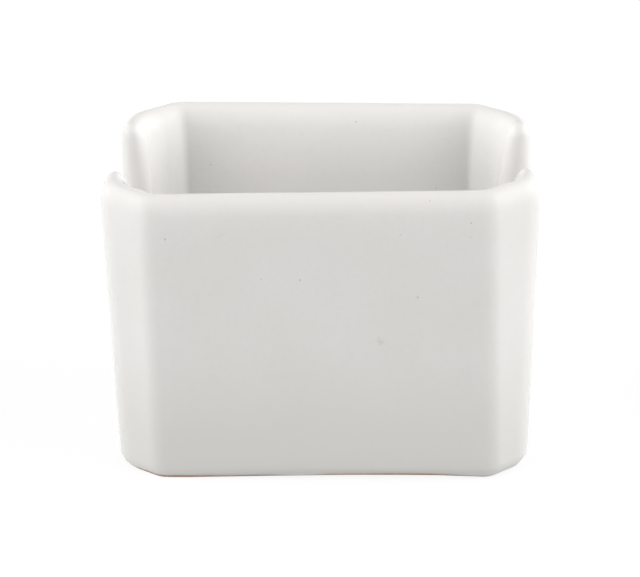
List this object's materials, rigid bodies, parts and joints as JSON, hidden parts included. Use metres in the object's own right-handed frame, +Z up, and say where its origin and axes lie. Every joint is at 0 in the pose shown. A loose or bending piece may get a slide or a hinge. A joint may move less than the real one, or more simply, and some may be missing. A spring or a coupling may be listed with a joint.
{
  "type": "sugar packet holder",
  "caption": "Octagonal open-topped box of white glazed china with leaning walls, a full-round rim and a finger dip in each end wall, for keeping sugar packets on a table.",
  "frame": {"origin": "middle of the foot, on the table", "axes": "+X along the holder towards one finger dip, +Y across it, +Z up"},
  "size_m": [0.0888, 0.0634, 0.063],
  "materials": {
    "fired_clay": "bare vitrified clay, smooth and matte",
    "glaze": "white gloss glaze with a faint waviness and a few pinholes"
  },
  "bodies": {
    "root": {"porcelain_body": "fired_clay", "glaze_coat": "glaze", "base_glaze": "glaze"}
  },
  "joints": []
}
